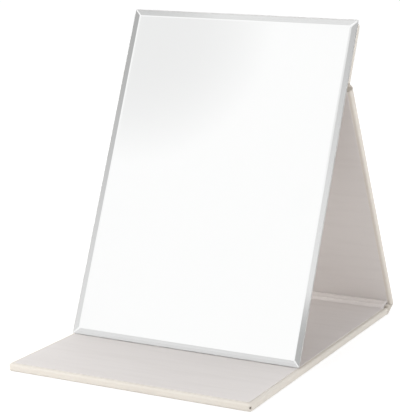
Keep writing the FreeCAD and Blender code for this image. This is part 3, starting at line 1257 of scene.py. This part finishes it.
    def build_lining(self, workshop: Workshop) -> None:
        """Lining over the folds: two soft ridges that meet in a valley over the spine.

        A ridge from p to q is p + t (q - p) + rise x sin(pi t) x swell, with t from 0 to 1. The steps of t grow
        finer from draw_from on.

        Args:
            workshop: hands out the finishes and sets the pieces on their bodies.
        """
        thick, reach = self.lining_thickness, self.lining_reach
        rise = ((self.base_margin, self.clearance), (self.base_margin - thick, thick), (reach + thick, thick))
        fall = ((self.back_margin, self.clearance), (self.back_margin - thick, thick),
                (reach + 2 * thick, thick))
        on_base = [self.base.inner(run, lift) for run, lift in rise]
        on_back = [self.back.inner(run, lift) for run, lift in fall]
        chord = self.back.inner(reach, 0.0) - self.base.inner(reach, 0.0)
        swell = np.array([-chord[1], chord[0]]) / np.linalg.norm(chord)
        valley = self.base.inner(reach, 0.0) + chord / 2 + swell * thick
        share = np.concatenate([np.linspace(0.0, self.draw_from, self.RIDGE_POINTS)[:-1],
                                np.linspace(self.draw_from, 1.0, self.DRAWN_POINTS)])
        crest = np.sin(math.pi * share)
        bump = np.multiply.outer(crest * self.ridge_rise, swell)
        first = on_base[-1] + np.multiply.outer(share, valley - on_base[-1]) + bump
        second = valley + np.multiply.outer(share, on_back[-1] - valley) + bump
        low_lap, high_lap = self.lap(on_base), self.lap(on_back)[::-1]
        # The crests go into the lining's edge mark, so its pale worn colour paints them lighter: rubbed wear and
        # painted highlight.
        rub_and_highlight, plain = self.ridge_rub_and_highlight * crest, np.zeros(len(low_lap))
        low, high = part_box("fold_lining")
        cut = (high[0] - low[0], self.LINING_COLUMNS, swell, self.LINING_SHARE * thick)

        lower = carried_sheet("rear_fold_lower_lining", np.concatenate([low_lap, first]), *cut,
                              np.concatenate([plain, rub_and_highlight]))
        workshop.bend(lower, Slot.LINING, (Body.BASE, Body.SPINE), on_base[-1], valley, "fold_lining")
        upper = carried_sheet("rear_fold_upper_lining", np.concatenate([second, high_lap]), *cut,
                              np.concatenate([rub_and_highlight, plain]))
        drawn = valley + self.draw_from * (on_back[-1] - valley)
        workshop.bend(upper, Slot.LINING, (Body.SPINE, Body.BACK), drawn, on_back[-1])


@dataclass
class TopFold:
    """The crease behind the mirror, where the back panel meets the strip that carries the glass."""

    back: CoverPanel
    strip: CoverPanel
    side_inset: float = 0.6 * MM
    radius: float = 1.6 * MM
    roll_radius: float = 1.25 * MM
    roll_inset: float = 1.0 * MM
    bend_reach: float = 1.5 * MM
    taper_from: float = 0.25

    BEND_POINTS = 14

    def build(self, workshop: Workshop) -> None:
        """A sheet of leatherette with a rounded valley, and the turned-in roll between the panels' ends.

        Along its path the sheet goes from the back panel's width to the strip's as a smoothstep.

        Args:
            workshop: hands out the finishes and sets the pieces on their bodies.
        """
        first = self.back.outer(self.back.axes.length)
        last = self.strip.outer(0.0)
        corner = meeting_point(first, self.back.axes.along, last, self.strip.axes.along)
        path = rounded_bend(first, corner, last, self.radius, self.BEND_POINTS)
        drawn_in = smoothstep(self.taper_from, 1.0, np.linspace(0.0, 1.0, len(path)))
        widths = self.back.width + drawn_in * (self.strip.width - self.back.width) - 2 * self.side_inset
        sheet = carried_sheet("top_fold_skin", path, widths, SKIN_COLUMNS, -self.back.axes.inward,
                              self.back.skin)
        axis = Fold.TOP.axis()
        inward = self.back.axes.inward + self.strip.axes.inward
        centre = axis + inward / np.linalg.norm(inward) * self.roll_inset
        roll = soft_roll("top_fold_roll", centre, self.roll_radius, self.strip.width)
        course = self.back.axes.along + self.strip.axes.along
        course = course / np.linalg.norm(course) * self.bend_reach
        for piece in (sheet, roll):
            workshop.bend(piece, Slot.LEATHERETTE, (Body.BACK, Body.MIRROR), axis - course, axis + course)


@dataclass
class MirrorPlate:
    """The bevelled glass with its silver film."""

    bevel_width: float = 5.0 * MM
    bevel_drop: float = 1.2 * MM
    arris: float = 0.18 * MM
    corner_cut: float = 0.35 * MM
    film_sink: float = 0.02 * MM
    film_insets: tuple[float, ...] = (0.0, 0.0, 0.2 * MM, 0.5 * MM)
    film_wear: tuple[float, ...] = (1.0, 1.0, 0.45, 0.0)
    along: Pair = (0.3, 1.0)
    forward: Pair = (-1.0, 0.3)

    FACET_DEG = 4.0

    def __post_init__(self) -> None:
        """Read the axes of the glass and of its film, from the back face to the front."""
        self.glass = PlateFrame.of_node("mirror_glass", self.along, self.forward)
        self.film = PlateFrame.of_node("mirror_silvering", self.along, self.forward)

    def ring(self, axes: PlateFrame, inset: Array, depth: Array) -> Array:
        """Rectangles with cut corners, one for each inset, at their depths.

        Args:
            axes: axes of the plate.
            inset: distance of each rectangle from the plate's outline.
            depth: depth of each rectangle.

        Returns:
            (n, 8, 3) local points in order round each rectangle.
        """
        cut = self.corner_cut
        sides = np.array([(-1, 0), (-1, 0), (-1, 1), (-1, 1), (1, 1), (1, 1), (1, 0), (1, 0)], float)
        nudge_x = np.array([cut, 0, 0, cut, -cut, 0, 0, -cut])
        nudge_run = np.array([0, cut, -cut, 0, 0, -cut, cut, 0])
        made = np.empty((len(inset), len(sides), 3))
        made[..., 0] = sides[:, 0] * (axes.width / 2 - inset[:, None]) + nudge_x
        made[..., 1] = sides[:, 1] * axes.length + (1 - 2 * sides[:, 1]) * inset[:, None] + nudge_run
        made[..., 2] = depth[:, None]
        return made

    def closed(self, name: str, axes: PlateFrame, rings: Array, edge: Array) -> Piece:
        """Skin a stack of rings and close its first and last ones.

        Args:
            name: the piece's name.
            axes: axes of the plate.
            rings: (n, 8, 3) local points.
            edge: closeness of each ring to a worn edge.

        Returns:
            The closed piece, its facets shaded flat.
        """
        count, around = rings.shape[:2]
        index = np.arange(count * around).reshape(count, around)
        onward = np.roll(index, -1, 1)
        walls = np.stack([index[:-1], onward[:-1], onward[1:], index[1:]], -1).reshape(-1, 4)
        quads = np.array([(0, 1, 2, 3), (0, 3, 4, 7), (4, 5, 6, 7)])
        faces = np.concatenate([walls, index[0][quads[:, ::-1]], index[-1][quads]])
        return put_mesh(name, axes.place(rings.reshape(-1, 3)), faces, edge=np.repeat(edge, around),
                        sharp_deg=self.FACET_DEG)

    def build(self, workshop: Workshop) -> None:
        """Build the glass and the film: each a short profile carried round the plate's outline.

        Args:
            workshop: hands out the finishes and sets the pieces on their bodies.
        """
        arris, top = self.arris, self.glass.thickness
        foot = top - self.bevel_drop
        slope = self.bevel_drop / (self.bevel_width - arris)
        inset = np.array([3 * arris, 2 * arris, 0.0, 0.0, arris, 1.5 * arris, self.bevel_width])
        depth = np.array([0.0, 0.0, arris, foot - arris, foot, foot + 0.5 * arris * slope, top])
        ground = np.array([0.0, 1.0, 1.0, 1.0, 1.0, 0.0, 0.0])
        lite = self.closed("mirror_lite", self.glass, self.ring(self.glass, inset, depth), ground)
        workshop.ride(lite, Slot.GLASS, Body.MIRROR, "mirror_glass")

        front = self.film.thickness + self.film_sink
        levels = np.array([self.film_sink, front, front, front])
        rings = self.ring(self.film, np.array(self.film_insets), levels)
        film = self.closed("silver_film", self.film, rings, np.array(self.film_wear))
        workshop.ride(film, Slot.SILVERING, Body.MIRROR, "mirror_silvering")


@dataclass(frozen=True)
class Lamp:
    """A square soft lamp that faces the object, its place and side in metres and its power in watts."""

    name: str
    place: Point
    size: float
    watts: float


@dataclass(frozen=True)
class Spot:
    """A round place in the reflected studio, placed by its distances from the card's middle.

    Its value runs smoothly from middle to rim with the square of the distance over the radius.
    """

    across: float
    rise: float
    radius: float
    middle: float
    rim: float = 0.0


@dataclass
class Studio:
    """Floor, light and camera: a plain white table top under an even sky.

    A large lamp stands at the front left, and small ones low in front, at both sides and behind. In
    reflections the sky is a grey studio with a pale card before the glass, whose sizes are tangents of
    angles from the card's middle.
    """

    camera_place: Point = (0.43977, -0.96295, 0.30423)
    yaw_deg: float = 25.32
    pitch_deg: float = 10.92
    roll_deg: float = 1.14
    focal_px: float = 1462.5
    image_px: tuple[int, int] = (400, 414)
    sensor_mm: float = 36.0
    clip: Pair = (0.01, 200.0)
    floor_half: float = 30.0
    floor_colour: Colour = (0.86, 0.855, 0.85, 1.0)
    floor_seen: Colour = (0.42, 0.42, 0.42, 1.0)
    floor_glow: float = 0.725
    sky_level: float = 0.69
    sky_blue: float = 1.01
    lamp_tint: Point = (1.0, 0.985, 0.96)
    lamps: tuple[Lamp, ...] = (
        Lamp("key", (-1.1, -1.2, 1.7), 1.5, 22.5),
        Lamp("fill", (0.95, -1.45, 0.10), 0.5, 2.3),
        Lamp("left", (-0.55, -0.25, 0.10), 0.25, 1.45),
        Lamp("right", (1.4, 0.05, 0.08), 0.4, 5.0),
        Lamp("rear", (0.0, 1.7, 0.9), 0.4, 7.0),
    )
    card_azimuth: float = -28.0
    card_elevation: float = 29.85
    card_tilt: float = 0.25
    card_wide: Pair = (0.10, 0.19)
    card_tall: Pair = (0.114, 0.15)
    card_light: Spot = Spot(-0.10, 0.085, 0.114, 0.86, 1.02)
    least_depth: float = 0.02
    room_span: Pair = (-0.2, 0.2)
    room_light: Pair = (0.84, 0.76)
    aside_span: Pair = (0.13, 0.2)
    high_span: Pair = (0.40, 0.62)
    high_shade: float = 0.34
    overhead_span: Pair = (0.125, 0.15)
    overhead_shade: float = 0.08
    flags: tuple[Spot, ...] = (Spot(-0.24, -0.155, 0.055, 0.36), Spot(-0.06, -0.19, 0.10, 0.20))

    def build(self) -> None:
        """Set up the stage."""
        bpy.context.scene.view_settings.view_transform = "Standard"
        self.build_floor()
        for lamp in self.lamps:
            self.hang(lamp)
        self.build_sky()
        self.build_camera()

    @staticmethod
    def mirrored(shader: Shader, path: bpy.types.Node) -> Socket:
        """Returns 1 for what is seen in a reflection or through glass."""
        return shader.math("MAXIMUM", path.outputs["Is Glossy Ray"], path.outputs["Is Transmission Ray"])

    def build_floor(self) -> None:
        """A pale table top: white to the camera, with the object's shadow kept in its diffuse share."""
        corners = np.array([(-1, -1, 0), (1, -1, 0), (1, 1, 0), (-1, 1, 0)], float)
        up = np.array([0.0, 0.0, 1.0])
        floor = put_mesh("floor", corners * self.floor_half, np.array([[0, 1, 2, 3]]), up)
        floor.data.attributes.remove(floor.data.attributes[EDGE_MARK])
        made = bpy.data.materials.new("table_top")
        made.use_nodes = True
        shader = Shader(made.node_tree)
        path = shader.add("ShaderNodeLightPath")
        seen = shader.math("MAXIMUM", path.outputs["Is Camera Ray"], self.mirrored(shader, path))
        plain = shader.add("ShaderNodeBsdfDiffuse", {"Color": self.floor_colour})
        half_tone = shader.add("ShaderNodeBsdfDiffuse", {"Color": self.floor_seen})
        glow = shader.add("ShaderNodeEmission", {"Color": WHITE, "Strength": self.floor_glow})
        bright = shader.add("ShaderNodeAddShader", {0: half_tone.outputs[0], 1: glow.outputs[0]})
        both = shader.add("ShaderNodeMixShader", {0: seen, 1: plain.outputs[0], 2: bright.outputs[0]})
        shader.add("ShaderNodeOutputMaterial", {"Surface": both.outputs[0]})
        floor.data.materials.append(made)

    def hang(self, lamp: Lamp) -> None:
        """Hang a lamp turned to the object and left out of reflections.

        Args:
            lamp: its place, size and power.
        """
        light = bpy.data.lights.new(lamp.name, "AREA")
        light.shape = "SQUARE"
        light.size = lamp.size
        light.energy = lamp.watts
        light.color = self.lamp_tint
        hung = bpy.data.objects.new(lamp.name, light)
        back = np.array(lamp.place) / np.linalg.norm(lamp.place)
        right = np.cross((0.0, 0.0, 1.0), back)
        right = right / np.linalg.norm(right)
        hung.matrix_world = self.pose(right, np.cross(back, right), back, lamp.place)
        hung.visible_glossy = False
        hung.visible_transmission = False
        bpy.context.scene.collection.objects.link(hung)

    @staticmethod
    def pose(right: Array, up: Array, back: Array, place: Point) -> Matrix:
        """The matrix of a lamp or camera.

        Args:
            right: its own x axis.
            up: its own y axis.
            back: its own z axis, away from what it faces.
            place: where it stands.

        Returns:
            The matrix that takes its own axes to the world.
        """
        made = np.eye(4)
        made[:3, :3] = np.stack([right, up, back], 1)
        made[:3, 3] = place
        return Matrix(made.tolist())

    def build_sky(self) -> None:
        """Even light all round; in reflections a pale card stands out from a grey studio with dark flags."""
        world = bpy.data.worlds.new("studio")
        world.use_nodes = True
        bpy.context.scene.world = world
        shader = Shader(world.node_tree)
        azimuth, elevation = math.radians(self.card_azimuth), math.radians(self.card_elevation)
        side = (math.cos(azimuth), math.sin(azimuth), 0.0)
        ahead = (math.sin(azimuth) * math.cos(elevation), -math.cos(azimuth) * math.cos(elevation),
                 math.sin(elevation))
        up = tuple(np.cross(side, ahead) * np.sign(np.cross(side, ahead)[2]))
        direction = shader.add("ShaderNodeTexCoord").outputs["Generated"]

        def along(axis: Point) -> Socket:
            """Returns how much of the ray's direction lies along an axis."""
            return shader.vector("DOT_PRODUCT", {0: direction, 1: axis}, "Value")

        depth = shader.math("MAXIMUM", along(ahead), self.least_depth)
        across = shader.math("DIVIDE", along(side), depth)
        rise = shader.math("DIVIDE", along(up), depth)
        aside = shader.math("ABSOLUTE", across)

        def lit(spot: Spot) -> Socket:
            """The value of a spot in the ray's direction.

            Args:
                spot: the spot.

            Returns:
                The value's socket.
            """
            square_across = shader.math("POWER", shader.math("SUBTRACT", across, spot.across), 2.0)
            square_rise = shader.math("POWER", shader.math("SUBTRACT", rise, spot.rise), 2.0)
            distance = shader.math("ADD", square_across, square_rise)
            return shader.spread(distance, 0.0, spot.radius ** 2, spot.middle, spot.rim)

        tilted = shader.math("ABSOLUTE", shader.math("MULTIPLY_ADD", across, -self.card_tilt, rise))
        card = shader.math("MULTIPLY", shader.spread(aside, *self.card_wide, 1.0, 0.0),
                           shader.spread(tilted, *self.card_tall, 1.0, 0.0))
        beside = shader.spread(aside, *self.aside_span)
        height = shader.add("ShaderNodeSeparateXYZ", {0: direction}).outputs["Z"]
        high = shader.math("MULTIPLY", beside, shader.spread(height, *self.high_span, 0.0, self.high_shade))
        overhead = shader.math("MULTIPLY", shader.spread(rise, *self.overhead_span, 0.0, self.overhead_shade),
                               shader.math("SUBTRACT", 1.0, beside))
        room = shader.spread(across, *self.room_span, *self.room_light)
        for shade in (high, overhead, *(lit(flag) for flag in self.flags)):
            room = shader.math("SUBTRACT", room, shade)
        around = shader.mix(room, BLACK, WHITE)
        reflected = shader.mix(card, around, shader.mix(lit(self.card_light), BLACK, WHITE))

        path = shader.add("ShaderNodeLightPath")
        even = (self.sky_level, self.sky_level, self.sky_level * self.sky_blue, 1.0)
        tone = shader.mix(self.mirrored(shader, path), even, reflected)
        tone = shader.mix(path.outputs["Is Camera Ray"], tone, WHITE)
        background = shader.add("ShaderNodeBackground", {"Color": tone, "Strength": 1.0})
        shader.add("ShaderNodeOutputWorld", {"Surface": background.outputs[0]})

    def build_camera(self) -> None:
        """A camera at the photograph's viewing angle, with its horizon turned by the roll."""
        yaw, pitch, roll = (math.radians(angle) for angle in (self.yaw_deg, self.pitch_deg, self.roll_deg))
        level = np.array([math.cos(yaw), math.sin(yaw), 0.0])
        ahead = np.array([-math.sin(yaw) * math.cos(pitch), math.cos(yaw) * math.cos(pitch),
                          -math.sin(pitch)])
        upright = np.cross(level, ahead)
        right = level * math.cos(roll) + upright * math.sin(roll)
        up = upright * math.cos(roll) - level * math.sin(roll)
        lens = bpy.data.cameras.new("camera")
        lens.sensor_width = self.sensor_mm
        lens.lens = self.focal_px * self.sensor_mm / max(self.image_px)
        lens.clip_start, lens.clip_end = self.clip
        camera = bpy.data.objects.new("camera", lens)
        camera.matrix_world = self.pose(right, up, -ahead, self.camera_place)
        bpy.context.scene.collection.objects.link(camera)
        bpy.context.scene.camera = camera


def main() -> None:
    """Build the object's pieces in order, then the studio."""
    logging.basicConfig(level=logging.INFO, format="%(name)s: %(message)s")
    workshop = Workshop()
    workshop.dress_frame()
    base = CoverPanel("base", Body.BASE, "base_board", "base_skin", (-1.0, 0.0), (0.0, 1.0), True,
                      "base_lining")
    back = CoverPanel("back", Body.BACK, "back_board", "back_skin", (-0.5, 0.8), (-0.8, -0.5), False,
                      "back_lining")
    strip = CoverPanel("strip", Body.MIRROR, "strip_board", "strip_skin", (0.3, 1.0), (-1.0, 0.3), True)
    for assembly in (base, back, strip, RearFold(base, back), TopFold(back, strip), MirrorPlate()):
        assembly.build(workshop)
    Studio().build()


if __name__ == "__main__":
    main()
